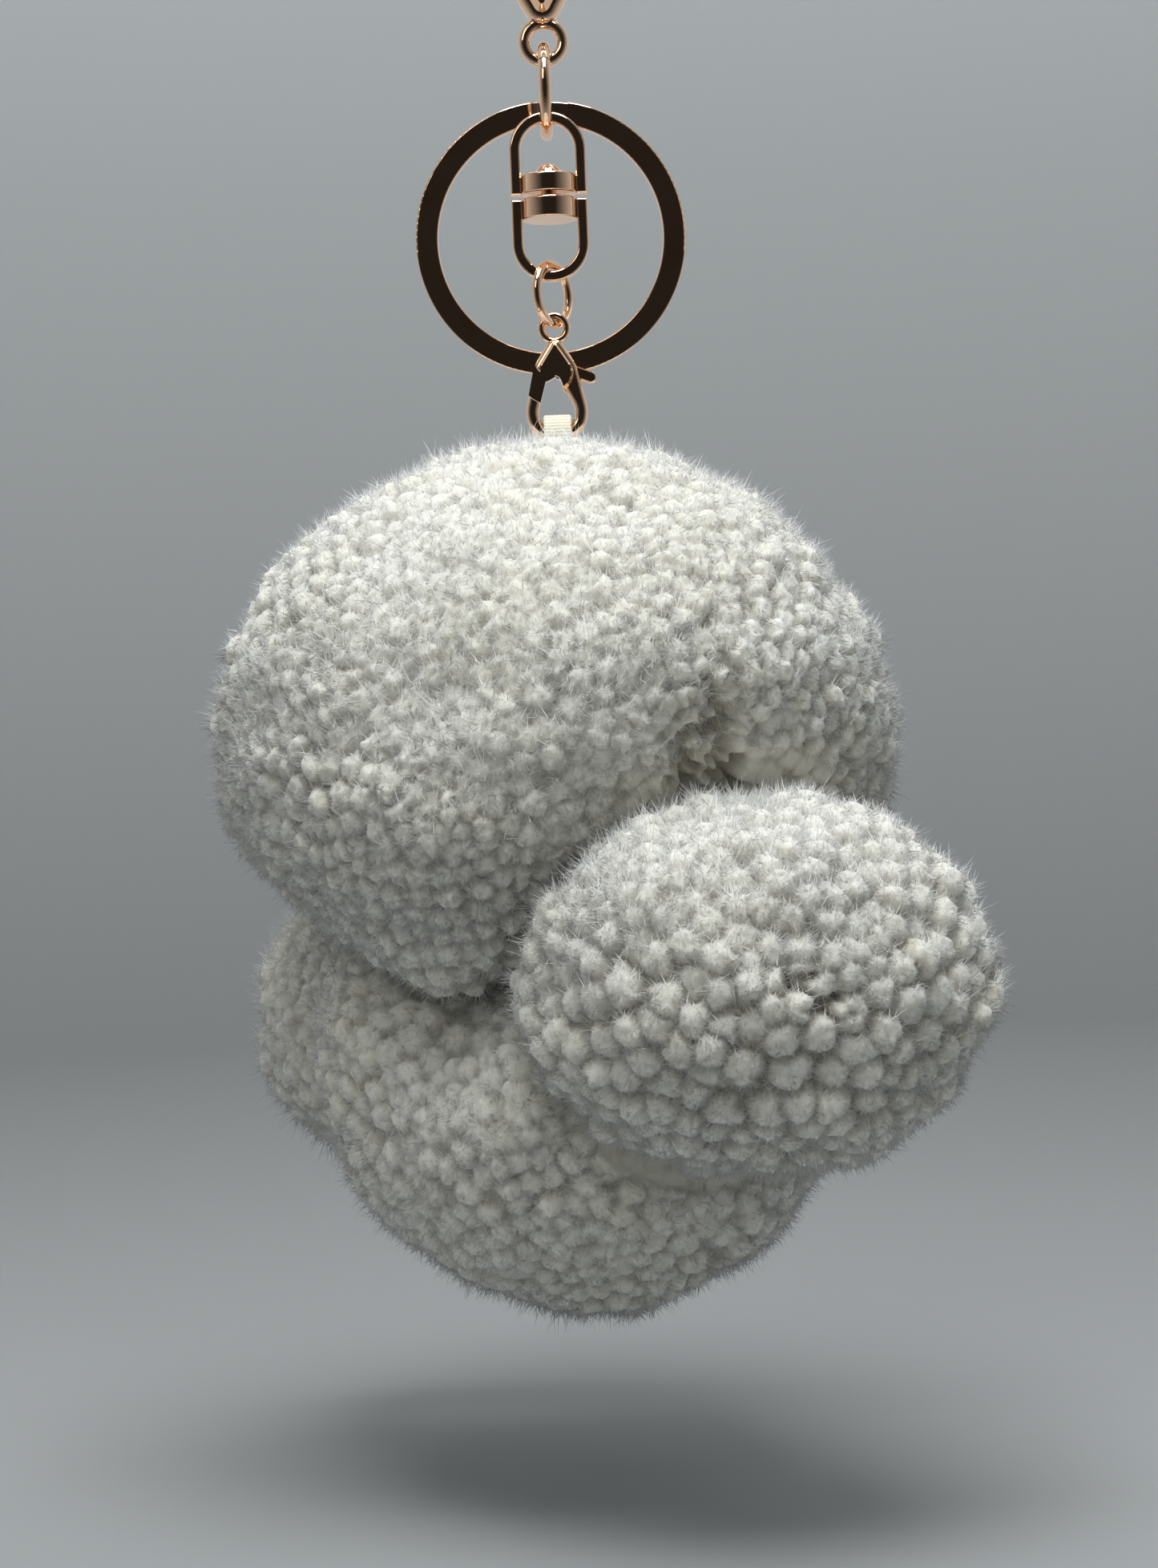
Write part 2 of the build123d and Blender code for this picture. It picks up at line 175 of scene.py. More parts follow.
# %% Set each pompom's place and half sizes, in millimetres
crown_shift = (-1.3, 0, 0)  # the crown's yarn sits a little to the left of its cord
pompoms = {  # half sizes across, front to back, above and below; then how far apart the nubs are
    "crown": {"half": (36.5, 34.0, 32.6, 25.0), "levels": 8, "spacing": 2.35, "seed": 3},
    "front": {"half": (24.3, 21.0, 19.0, 19.0), "levels": 7, "spacing": 2.75, "seed": 5},
    "rear": {"half": (24.3, 21.0, 19.0, 19.0), "levels": 7, "spacing": 2.6, "seed": 7},
    "bottom": {"half": (29.0, 28.0, 28.6, 28.6), "levels": 7, "spacing": 2.5, "seed": 11},
}
for name, pompom in pompoms.items():
    pompom["centre"] = middle(name + "_tie_cord")
    if name == "crown":
        pompom["centre"] = pompom["centre"] + crown_shift
    print(name, "centre", np.round(pompom["centre"], 2), "half sizes", pompom["half"])

# %% [markdown]
# ## The pressed shape of a pompom
# Where two pompoms touch, the yarn of both flattens against a plane between
# them, and the edge of that flat is soft. So the distance from the centre to
# the surface is the smaller of the egg's radius and the distance to each
# plane, blended so that the edge comes out rounded.

# %% Work out how far the yarn reaches in any direction
seam_gap = 0.15
seam_softness = 14  # a low number rounds the edge of the flats more
front_droop = 0.55  # how steeply the crown hangs down in front, over the bottom pompom
back_droop = 0.08
crown_bulge = 2.5  # and it pushes the front pompom in by this much
pushes = {("crown", "front"): crown_bulge, ("front", "crown"): -crown_bulge}
far_off = 1e9
tiny = 1e-6
press_starts = 0.9  # pressed yarn's free reach is more than this share of the way to a plane
press_span = 0.2
press_scale = 5  # turns that span into a number from 0 to 1
swells = {  # a direction, how far the yarn stands out or in there in mm, and how wide that is
    "crown": [((-0.27, -0.66, -0.70), 5.0, 0.42), ((-0.75, -0.35, 0.55), 0.8, 0.35),
              ((0.85, -0.3, -0.42), 0.8, 0.3), ((0.30, -0.25, 0.9), 0.9, 0.3)],
    "front": [((0.9, -0.4, -0.3), 0.8, 0.35), ((-0.5, -0.5, 0.7), 1.0, 0.35)],
    "rear": [((-0.8, -0.45, -0.4), 0.8, 0.4)],
    "bottom": [((-0.46, -0.82, 0.30), -7.0, 0.28), ((-0.75, -0.55, 0.1), 0.8, 0.35)],
}


def egg_radius(ways, half):
    wide, deep, above, below = half
    tall = np.where(ways[:, 2] > 0, above, below)
    x, y, z = ways[:, 0] / wide, ways[:, 1] / deep, ways[:, 2] / tall
    return (x ** 2 + y ** 2 + z ** 2) ** -0.5


def pressed_radius(name, ways):
    """The yarn's reach along each direction, and how much of it is pressed on a neighbour."""
    here = pompoms[name]
    egg = egg_radius(ways, here["half"])
    for way, stand, width in swells[name]:
        way = np.array(way) / np.linalg.norm(way)
        egg += stand * np.exp((ways @ way - 1) / width ** 2)
    total = egg ** -seam_softness
    nearest = np.full(len(ways), far_off)
    for other, there in pompoms.items():
        if other == name:
            continue
        apart = there["centre"] - here["centre"]
        distance = np.linalg.norm(apart)
        way = apart / distance
        mine = egg_radius(way[None], here["half"])[0]
        theirs = egg_radius(-way[None], there["half"])[0]
        seam = way * (distance * mine / (mine + theirs) - seam_gap + pushes.get((name, other), 0))
        facing = np.repeat(way[None], len(ways), axis=0)
        if {name, other} == {"crown", "bottom"}:
            droop = np.where(ways[:, 1] < 0, front_droop, back_droop)
            facing[:, 1] += droop if name == "crown" else -droop
        plane = (facing @ seam) / np.maximum((facing * ways).sum(axis=1), tiny)
        nearest = np.minimum(nearest, plane)
        total += plane ** -seam_softness
    radius = total ** (-1 / seam_softness)
    pressed = np.clip(egg / nearest - press_starts, 0, press_span) * press_scale
    return np.minimum(radius, nearest), pressed


straight_ahead = np.array([[0, -1.0, 0]])
front_reach, _ = pressed_radius("crown", straight_ahead)
print("crown's reach to the front in mm:", round(float(front_reach[0]), 1))

# %% [markdown]
# ## Nubs
# The trimmed end of each strand opens into a small rounded tuft, and those
# tufts crowd together like the florets of a cauliflower. To get that, points
# are scattered over the surface so that none is too near another, and each
# patch of surface rises to a dome over its own point and sinks where two
# patches meet.

# %% Scatter points, and find the nearest two to any place
most_tries = 60000


def waves(points, seed, lengths, count=14):
    """A smooth random field, mostly from -1 to 1, made of sine waves of the given lengths."""
    rng = np.random.default_rng(seed)
    field = np.zeros(len(points))
    for _ in range(count):
        way = rng.normal(size=3)
        way /= np.linalg.norm(way)
        length = rng.uniform(*lengths)
        start = rng.uniform(0, 2 * math.pi)
        field += np.sin(points @ way * 2 * math.pi / length + start)
    return field / math.sqrt(count)


def scatter(points, spacing, seed):
    """Picks points in a random order and keeps those that are far enough from all kept ones."""
    rng = np.random.default_rng(seed)
    order = rng.permutation(len(points))[:most_tries]
    kept, cells = [], {}
    cell_size = spacing.max()
    steps = [(dx, dy, dz) for dx in (-1, 0, 1) for dy in (-1, 0, 1) for dz in (-1, 0, 1)]
    for index in order:
        p = points[index]
        need = spacing[index]
        cell = tuple((p // cell_size).astype(int))
        around = [q for dx, dy, dz in steps
                  for q in cells.get((cell[0] + dx, cell[1] + dy, cell[2] + dz), ())]
        if all((p[0] - q[0]) ** 2 + (p[1] - q[1]) ** 2 + (p[2] - q[2]) ** 2 > need * need
               for q in around):
            cells.setdefault(cell, []).append(p)
            kept.append(index)
    return np.array(kept)


def two_nearest(points, centres):
    tree = KDTree(len(centres))
    for i, c in enumerate(centres):
        tree.insert(c, i)
    tree.balance()
    which = np.empty(len(points), int)
    first = np.empty(len(points))
    second = np.empty(len(points))
    for i, p in enumerate(points):
        (_, which[i], first[i]), (_, _, second[i]) = tree.find_n(p, 2)
    return which, first, second


print("each scatter tries", most_tries, "points at most")

# %% [markdown]
# ## The crease in the crown
# Right of the middle the crown is split by two short clefts, where the front
# pompom pushes its strands apart, and the front pompom has a small one. Each
# is a groove along a few points. Some places are brushed, too: the nubs there
# run together into a soft pile.

# %% Describe the cleft and the parts that are brushed smooth
clefts = {  # across and up, in mm, on the side that faces the front
    "crown": [[(15.2, -92.5), (16.0, -101.0), (17.5, -107.0)], [(12.0, -98.0), (12.8, -105.0)]],
    "front": [[(20.0, -120.6), (24.8, -123.8)]],
}
cleft_depth = {"crown": 2.3, "front": 1.6}
cleft_width = {"crown": 1.5, "front": 0.9}
brushed = {  # how smooth all over, then a smoother patch: how much, across, up, how wide in mm
    "crown": (0.42, 0.56, -4, 10, 14),
    "front": (0.16, 0.75, -14, 12, 11),
    "rear": (0.55, 0, 0, 0, 1),
    "bottom": (0.6, 0, 0, 0, 1),
}
drift_seed = 21
drift_lengths = (16, 34)
drift_amount = 0.22


def distance_to_line(points, line):
    best = np.full(len(points), far_off)
    for a, b in zip(line, line[1:]):
        a, b = np.array(a), np.array(b)
        along = np.clip((points - a) @ (b - a) / ((b - a) @ (b - a)), 0, 1)
        off = points - a - along[:, None] * (b - a)
        best = np.minimum(best, np.linalg.norm(off, axis=1))
    return best


def smoothness(name, points):
    """From 0, where the nubs stand out, to 1, where the ends are brushed into a soft pile."""
    overall, extra, across, up, width = brushed[name]
    x, _, z = (points - pompoms[name]["centre"]).T
    patch = np.exp(-((x - across) ** 2 + (z - up) ** 2) / (2 * width ** 2))
    drift = waves(points, drift_seed, drift_lengths) * drift_amount
    return np.clip(overall + extra * patch + drift, 0, 1)


print("clefts:", sum(len(lines) for lines in clefts.values()))

# %% [markdown]
# ## The height of the nubs
# A point's height over the pressed shape comes from the dome of its own nub,
# which is flatter where the yarn is brushed. Some nubs stand prouder than
# others. The borders between nubs are bent by a small random field, because
# straight ones would look like tiles.

# %% Raise a dome over each nub
nub_height = 1.4
usual_nub = 2.7  # the spacing at which a nub has just that height
nub_sink = 0.7  # how much of the dome's height is taken off, so that it rises and sinks
proud_spread = 0.34
soft_flattens = 0.55
soft_settles = 0.45
soft_crowds = 0.22
crowding_waves, crowding_amount = (9, 20), 0.14
border_waves, border_bend = (1.6, 3.4), 0.24
dome_reach = 0.78
furrow_width = 0.22
furrow_depth = 0.32


def raise_nubs(pompom, points, soft):
    """Each point's height and dome, how far its place is bent, and which point is its nub's middle."""
    seed = pompom["seed"]
    crowding = crowding_amount * waves(points, seed + 1, crowding_waves)
    spacing = pompom["spacing"] * (1 + crowding - soft_crowds * soft)
    centres = scatter(points, spacing, seed)
    bend = np.stack([waves(points, seed + k, border_waves) for k in (31, 32, 33)], axis=1)
    warp = bend * border_bend
    which, first, second = two_nearest(points + warp, points[centres])
    size = spacing[centres][which]
    dome = np.sqrt(np.clip(1 - (first / (dome_reach * size)) ** 2, 0, 1))
    furrow = np.exp(-((second - first) / (furrow_width * size)) ** 2)
    rise = dome * (1 - furrow_depth * furrow)
    rng = np.random.default_rng(seed + 40)
    stand = rng.normal(0, proud_spread, len(centres))[which]
    flat = 1 - soft_flattens * soft
    height = nub_height * flat * (rise - nub_sink) * (size / usual_nub)
    height += stand * (1 - soft_settles * soft) * rise
    print(len(centres), "nubs")
    return height, rise, warp, centres[which]


# %% [markdown]
# ## Smaller tufts, lumps and the clefts
# On top of the nubs come the ends of single strands, which are small domes
# about a millimetre apart, and a coarse and a fine unevenness. The clefts are
# cut last, on the front only.

# %% Add the fine detail and cut the clefts
tuft_spacing = 1.05
tuft_height = 0.30
tuft_reach = 0.85
tuft_sink = 0.6
coarse_lump, coarse_waves = 0.55, (8, 22)
fine_lump, fine_waves, fine_count = 0.10, (0.7, 1.4), 24
cleft_bend = 4  # how many times more than a nub's border a cleft is bent


def fine_detail(pompom, points, warp):
    """What the strands' ends and the unevenness add, as three fields to be added in turn."""
    seed = pompom["seed"]
    tufts = scatter(points, np.full(len(points), tuft_spacing), seed + 2)
    _, near, _ = two_nearest(points + warp, points[tufts])
    dome = np.sqrt(np.clip(1 - (near / (tuft_reach * tuft_spacing)) ** 2, 0, 1))
    yield tuft_height * (dome - tuft_sink)
    yield coarse_lump * waves(points, seed + 50, coarse_waves)
    yield fine_lump * waves(points, seed + 60, fine_waves, fine_count)


def cleft_field(name, points, warp):
    """From 0, away from any cleft, to 1 along its bottom."""
    cleft = np.zeros(len(points))
    in_front = points[:, 1] < pompoms[name]["centre"][1]
    for line in clefts.get(name, ()):
        near = distance_to_line((points + cleft_bend * warp)[:, (0, 2)], line)
        groove = np.exp(-(near / cleft_width[name]) ** 2) * in_front
        cleft = np.maximum(cleft, groove)
    return cleft


print("strand ends are", tuft_spacing, "mm apart")

# %% [markdown]
# ## Make the four balls of yarn
# Each starts as a fine icosphere, so that its triangles are even all round.
# Its points go out to the pressed shape, and then in or out with the nubs. How deep a point lies
# between nubs, and along a cleft, is kept as an attribute, which the finish reads as painted shade: a
# darker, warmer colour there.

# %% Build one pompom's surface
pressed_flat = 0.95  # above this the yarn lies on a neighbour and nothing stands out
# Painted shade: how much less of it the brushed yarn gets, and how much a cleft adds.
brushed_cuts_painted_shade = 0.6
cleft_painted_shade = 0.8


def make_yarn_ball(name):
    pompom = pompoms[name]
    deselect_all()
    bpy.ops.mesh.primitive_ico_sphere_add(subdivisions=pompom["levels"], radius=1)
    piece = bpy.context.active_object
    piece.name = piece.data.name = name + "_yarn"
    mesh = piece.data
    ways = read_vectors(mesh.vertices, "co")
    ways /= np.linalg.norm(ways, axis=1)[:, None]
    reach, pressed = pressed_radius(name, ways)
    points = pompom["centre"] + ways * reach[:, None]
    mesh.vertices.foreach_set("co", points.astype(np.float32).ravel())
    mesh.update()
    normals = read_vectors(mesh.vertex_normals, "vector")

    soft = smoothness(name, points)
    height, rise, warp, nub_point = raise_nubs(pompom, points, soft)
    for detail in fine_detail(pompom, points, warp):
        height += detail
    cleft = cleft_field(name, points, warp)
    height -= cleft_depth.get(name, 0) * cleft
    height = np.where(pressed > pressed_flat, np.minimum(height, 0), height)
    points = points + normals * height[:, None]
    mesh.vertices.foreach_set("co", (points * MM).astype(np.float32).ravel())
    mesh.polygons.foreach_set("use_smooth", np.ones(len(mesh.polygons), bool))
    # The depth between nubs, less where brushed and more along a cleft, is stored for the finish to
    # paint as shade.
    crevice_shade = mesh.attributes.new("crevice_shade", "FLOAT", "POINT")
    painted_shade = np.clip(1 - rise, 0, 1) * (1 - brushed_cuts_painted_shade * soft) + cleft_painted_shade * cleft
    crevice_shade.data.foreach_set("value", np.clip(painted_shade, 0, 1).astype(np.float32))
    mesh.update()
    nub = points[nub_point]  # taken once the surface is raised, as the fibres lean away from it
    pompom.update(points=points, normals=normals, pressed=pressed, soft=soft, nub=nub)
    print(piece.name, "has", len(mesh.polygons), "faces")
    return piece


yarn_balls = {name: make_yarn_ball(name) for name in pompoms}

# %% [markdown]
# ## The fuzz
# Loose fibres stand out of every nub and blur its outline. Each is a thin
# closed spike of four triangles, so many thousands stay light. They lean away
# from the middle of their nub, and a little at random. Real fibres are so fine
# that light passes between them, so each takes its shading from the nub it
# grows on, and a nub looks soft all over rather than speckled.

# %% Grow the fuzz over a pompom
fuzz_length = 0.86
rear_fuzz_length = 1.1
shortest, longest = 0.3, 4.2  # the longest is in fibre lengths
stub = 0.22
soft_lengthens = 0.6
root_spread, root_depth = 0.16, 0.22
thin, thick = 0.03, 0.055
open_air_limit = 0.97
outward_lift = 0.8
lean_up, lean_outwards, lean_at_random = 0.45, 0.75, 0.55
length_shape, length_scale = 5.0, 0.2  # most fibres come out near full length, and a few at twice
facing_up = 0.7
spike = np.array([(0, 1, 3), (1, 2, 3), (2, 0, 3), (2, 1, 0)])
three_ways = (0, 2 * math.pi / 3, 4 * math.pi / 3)


def grow_fuzz(piece_name, name, count, seed, chosen=None, length=fuzz_length):
    pompom = pompoms[name]
    rng = np.random.default_rng(seed)
    open_air = pompom["pressed"] < open_air_limit
    if chosen is not None:
        open_air &= chosen(pompom["points"] - pompom["centre"])
    roots = rng.choice(np.flatnonzero(open_air), count)
    normal = pompom["normals"][roots]
    base = pompom["points"][roots] + rng.normal(0, root_spread, (count, 3)) - normal * root_depth
    outwards = base - pompom["nub"][roots] + normal * outward_lift
    outwards /= np.linalg.norm(outwards, axis=1)[:, None] + tiny
    lean = normal * lean_up + outwards * lean_outwards
    lean = lean + rng.normal(0, lean_at_random, (count, 3))
    lean /= np.linalg.norm(lean, axis=1)[:, None]
    reach = rng.gamma(length_shape, length_scale, count) * length
    reach = reach * (1 + soft_lengthens * pompom["soft"][roots]) + stub
    reach = np.clip(reach, shortest, longest * length)
    aside = np.cross(lean, rng.normal(size=(count, 3)))
    aside /= np.linalg.norm(aside, axis=1)[:, None]
    across = np.cross(lean, aside)
    width = rng.uniform(thin, thick, count)[:, None]
    corners = [base + width * (math.cos(a) * aside + math.sin(a) * across) for a in three_ways]
    tips = base + lean * reach[:, None]
    points = np.stack([*corners, tips], axis=1).reshape(-1, 3) * MM
    triangles = (np.arange(count)[:, None, None] * 4 + spike).reshape(-1, 3)
    piece = mesh_from_arrays(piece_name, points, triangles)
    facing = normal * facing_up + outwards
    facing /= np.linalg.norm(facing, axis=1)[:, None]
    piece.data.normals_split_custom_set_from_vertices(np.repeat(facing, 4, axis=0))
    print(piece_name, "has", count, "fibres")
    return piece


print("a fibre is about", fuzz_length, "mm long")

# %% [markdown]
# ## Where the fuzz is
# The crown and the front pompom are shared out among several pieces, so that
# none holds too many triangles. The rear pompom's fibres are longer, as its
# yarn was combed out.

# %% Cover the four pompoms
crown_top = 12  # mm above the crown's middle, where its top piece of fuzz begins
fuzz = [
    grow_fuzz("crown_fuzz_top", "crown", 46000, 101, lambda p: p[:, 2] > crown_top),
    grow_fuzz("crown_fuzz_front", "crown", 48000, 102,
              lambda p: (p[:, 2] <= crown_top) & (p[:, 1] < 0)),
    grow_fuzz("crown_fuzz_back", "crown", 42000, 103,
              lambda p: (p[:, 2] <= crown_top) & (p[:, 1] >= 0)),
    grow_fuzz("front_fuzz_upper", "front", 36000, 104, lambda p: p[:, 2] > 0),
    grow_fuzz("front_fuzz_lower", "front", 40000, 105, lambda p: p[:, 2] <= 0),
    grow_fuzz("rear_fuzz", "rear", 36000, 106, length=rear_fuzz_length),
    grow_fuzz("bottom_fuzz", "bottom", 48000, 107),
]
print("pieces of fuzz:", len(fuzz))

# %% [markdown]
# ## The elastic loop
# A flat cream elastic goes over the small clasp's hook and down into the crown,
# where the tie cord holds it. Its path is a circle whose lower half is moved
# down, which leaves two long straight legs, and those are then divided so that
# the weave has enough points to show.

# %% Draw the elastic's path and its rows
round_sides = 48
leg_cuts = 70
hair = 1e-6  # metres, so that the two points at the circle's middle height stay up
loop_low, loop_high = (np.array(v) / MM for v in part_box("hanging_loop"))
loop_thick = 0.8
ribs = 6
loop_radius = (loop_high[1] - loop_low[1] - loop_thick) / 2
top_centre = loop_high[2] - loop_radius - loop_thick / 2
drop = loop_high[2] - loop_low[2] - 2 * loop_radius - loop_thick

deselect_all()
bpy.ops.mesh.primitive_circle_add(
    vertices=round_sides, radius=loop_radius * MM, rotation=(0, math.pi / 2, 0),
    location=(loop_low[0] * MM, (loop_low[1] + loop_high[1]) / 2 * MM, top_centre * MM))
elastic = bpy.context.active_object
elastic.name = elastic.data.name = "elastic_loop"
bpy.ops.object.transform_apply(location=True, rotation=True, scale=True)
bpy.ops.object.mode_set(mode="EDIT")
bpy.ops.mesh.select_all(action="DESELECT")
bpy.ops.object.mode_set(mode="OBJECT")
for v in elastic.data.vertices:
    v.select = bool(v.co.z < top_centre * MM - hair)
bpy.ops.object.mode_set(mode="EDIT")
bpy.ops.transform.translate(value=(0, 0, -drop * MM))
bpy.ops.mesh.select_all(action="DESELECT")
bpy.ops.object.mode_set(mode="OBJECT")
for edge in elastic.data.edges:
    ends = [elastic.data.vertices[i] for i in edge.vertices]
    if abs(ends[0].co.z - ends[1].co.z) > drop / 2 * MM:
        ends[0].select = ends[1].select = edge.select = True
bpy.ops.object.mode_set(mode="EDIT")
bpy.ops.mesh.subdivide(number_cuts=leg_cuts)
bpy.ops.object.mode_set(mode="OBJECT")
loop_length = round(float(drop + 2 * loop_radius), 1)
print("the loop is", loop_length, "mm long, with", len(elastic.data.vertices), "rows")

# %% [markdown]
# ## The ribbon
# The path is pulled out sideways, one rib at a time, into a ribbon. Every
# other row of points is lifted, which raises the lengthwise ribs of the braid,
# and the edges go in and out a little with each pass of the thread. Solidify
# then gives it a thickness.

# %% Pull it out to a ribbon, raise its ribs and give it a thickness
step = (loop_high[0] - loop_low[0]) / (2 * ribs) * MM
bpy.ops.object.mode_set(mode="EDIT")
bpy.ops.mesh.select_all(action="SELECT")
for _ in range(2 * ribs):
    bpy.ops.mesh.extrude_edges_move(TRANSFORM_OT_translate={"value": (step, 0, 0)})
bpy.ops.mesh.select_all(action="SELECT")
bpy.ops.mesh.normals_make_consistent(inside=False)
bpy.ops.object.mode_set(mode="OBJECT")
rib_stand = 0.09
pick_height = 0.55 * MM  # one pass of the thread
pick_squeeze = 0.03
elastic_normals = [v.normal.copy() for v in elastic.data.vertices]
for v, n in zip(elastic.data.vertices, elastic_normals):
    row = round((v.co.x - loop_low[0] * MM) / step)
    v.co.x *= 1 - pick_squeeze * math.cos(2 * math.pi * v.co.z / pick_height)
    v.co += n * (rib_stand * MM if row % 2 else 0)
thickness = elastic.modifiers.new("thickness", "SOLIDIFY")
thickness.thickness = (loop_thick - rib_stand) * MM
thickness.offset = 0
rounding = elastic.modifiers.new("rounding", "SUBSURF")
rounding.levels = rounding.render_levels = 1
for modifier in ("thickness", "rounding"):
    bpy.ops.object.modifier_apply(modifier=modifier)
bpy.ops.object.shade_smooth()
print("elastic_loop has", len(elastic.data.polygons), "faces")

# %% [markdown]
# ## The yarn's finish
# Acrylic yarn is soft white and a little translucent, so light goes in at one fibre and out at
# another. Between the nubs and along the clefts its colour is painted warmer and darker, as painted
# shade. The shader has subsurface light, a sheen for the fibres that catch light at the edges, and two
# sizes of bump for the strands.

# %% Make the yarn's finish
light_through = (1.0, 0.92, 0.82)  # red light goes furthest in, then green, then blue
yarn, nodes, links = new_material("trimmed_white_yarn")
yarn_shader = nodes["Principled BSDF"]
set_sockets(yarn_shader, {
    "Roughness": 0.95, "Specular IOR Level": 0.1, "Subsurface Weight": 0.5,
    "Subsurface Radius": light_through, "Subsurface Scale": 0.0016,
    "Sheen Weight": 0.25, "Sheen Roughness": 0.6})
place = nodes.new("ShaderNodeTexCoord")
# Painted shade: the stored depth turns the colour warm grey between the nubs and in the clefts, near
# white on the nub tops.
between = nodes.new("ShaderNodeAttribute")
between.attribute_name = "crevice_shade"
shade = add_ramp(nodes, (0.15, 0.82, 0.80, 0.73), (0.95, 0.50, 0.46, 0.39))
links.new(between.outputs["Fac"], shade.inputs["Fac"])
patches = add_node(nodes, "TexNoise", {"Scale": 90, "Detail": 4})
links.new(place.outputs["Object"], patches.inputs["Vector"])
tint = add_ramp(nodes, (0.35, 0.95, 0.94, 0.90), (0.62, 1, 1, 1))
links.new(patches.outputs["Fac"], tint.inputs["Fac"])
both = nodes.new("ShaderNodeMix")
both.data_type = "RGBA"
both.blend_type = "MULTIPLY"
both.inputs["Factor"].default_value = 1
links.new(shade.outputs["Color"], both.inputs["A"])
links.new(tint.outputs["Color"], both.inputs["B"])
links.new(both.outputs["Result"], yarn_shader.inputs["Base Color"])
strands = add_node(nodes, "TexNoise", {"Scale": 2200, "Detail": 3, "Distortion": 1.2})
links.new(place.outputs["Object"], strands.inputs["Vector"])
pile = add_node(nodes, "Bump", {"Strength": 0.6, "Distance": 0.0002})
links.new(strands.outputs["Fac"], pile.inputs["Height"])
links.new(pile.outputs["Normal"], yarn_shader.inputs["Normal"])
print("finish:", yarn.name)

# %% [markdown]
# ## The fuzz's finish
# A single fibre is paler than the hollows behind it, which carry painted shade, and light goes right
# through it. It needs no bump of its own, as it is far too thin for one to show, and a soft patchy
# tint keeps the fibres from all looking alike.

# %% Make the fuzz's finish
fluff, nodes, links = new_material("yarn_fuzz")
fibre_shader = nodes["Principled BSDF"]
set_sockets(fibre_shader, {
    "Roughness": 0.9, "Specular IOR Level": 0.15, "Sheen Weight": 0.2,
    "Subsurface Weight": 0.5, "Subsurface Radius": light_through, "Subsurface Scale": 0.0012})
place = nodes.new("ShaderNodeTexCoord")
patches = add_node(nodes, "TexNoise", {"Scale": 300, "Detail": 2})
links.new(place.outputs["Object"], patches.inputs["Vector"])
tint = add_ramp(nodes, (0.3, 0.78, 0.755, 0.68), (0.6, 0.88, 0.865, 0.81))
links.new(patches.outputs["Fac"], tint.inputs["Fac"])
links.new(tint.outputs["Color"], fibre_shader.inputs["Base Color"])
print("finish:", fluff.name)

# %% [markdown]
# ## The metal's finish
# The hardware is brass plated in rose gold and polished, so nearly all of its
# look is reflection. Handling leaves faint smudges, which change the roughness
# in soft patches, and fine scratches, which a stretched noise gives as a very
# shallow bump.

# %% Make the plated finish and the spring wire's
def make_metal(name, colour, warm_colour, roughness, scratch):
    metal, nodes, links = new_material(name)
    shader = nodes["Principled BSDF"]
    shader.inputs["Metallic"].default_value = 1
    place = nodes.new("ShaderNodeTexCoord")
    smudges = add_node(nodes, "TexNoise", {"Scale": 260, "Detail": 5})
    links.new(place.outputs["Object"], smudges.inputs["Vector"])
    rough = add_node(nodes, "MapRange", {
        "From Min": 0.3, "From Max": 0.7, "To Min": roughness, "To Max": roughness * 2})
    links.new(smudges.outputs["Fac"], rough.inputs["Value"])
    links.new(rough.outputs["Result"], shader.inputs["Roughness"])
    plating = add_ramp(nodes, (0.35, *warm_colour), (0.6, *colour))
    links.new(smudges.outputs["Fac"], plating.inputs["Fac"])
    links.new(plating.outputs["Color"], shader.inputs["Base Color"])
    stretch = add_node(nodes, "Mapping", {"Scale": (1, 1, 0.12), "Rotation": (0.3, 0.5, 0)})
    links.new(place.outputs["Object"], stretch.inputs["Vector"])
    scratches = add_node(nodes, "TexNoise", {"Scale": 2600, "Detail": 2})
    links.new(stretch.outputs["Vector"], scratches.inputs["Vector"])
    bump = add_node(nodes, "Bump", {"Strength": scratch, "Distance": 0.00002})
    links.new(scratches.outputs["Fac"], bump.inputs["Height"])
    links.new(bump.outputs["Normal"], shader.inputs["Normal"])
    return metal


rose_gold = make_metal(
    "rose_gold_plate", (0.95, 0.68, 0.48), (0.90, 0.60, 0.41), roughness=0.05, scratch=0.12)
steel = make_metal(
    "spring_steel", (0.62, 0.62, 0.62), (0.5, 0.49, 0.47), roughness=0.2, scratch=0.4)
print("finishes:", rose_gold.name, steel.name)

# %% [markdown]
# ## The elastic's and the cords' finishes
# Both are made of fine thread, which shows as narrow bands that run across the
# piece. The elastic is cream and lets some light through, and the cords are
# plain white.

# %% Make the thread finishes
def make_thread(name, colour, dark, bands, through):
    thread, nodes, links = new_material(name)
    shader = nodes["Principled BSDF"]
    set_sockets(shader, {
        "Roughness": 0.75, "Specular IOR Level": 0.25, "Subsurface Weight": through,
        "Subsurface Radius": (1.0, 0.85, 0.6), "Subsurface Scale": 0.001, "Sheen Weight": 0.15})
    place = nodes.new("ShaderNodeTexCoord")
    weave = add_node(nodes, "TexWave", {"Scale": bands, "Distortion": 1.5, "Detail Scale": 3})
    weave.bands_direction = "Z"
    links.new(place.outputs["Object"], weave.inputs["Vector"])
    tint = add_ramp(nodes, (0, *dark), (0.6, *colour))
    links.new(weave.outputs["Fac"], tint.inputs["Fac"])
    links.new(tint.outputs["Color"], shader.inputs["Base Color"])
    bump = add_node(nodes, "Bump", {"Strength": 0.7, "Distance": 0.00008})
    links.new(weave.outputs["Fac"], bump.inputs["Height"])
    links.new(bump.outputs["Normal"], shader.inputs["Normal"])
    return thread


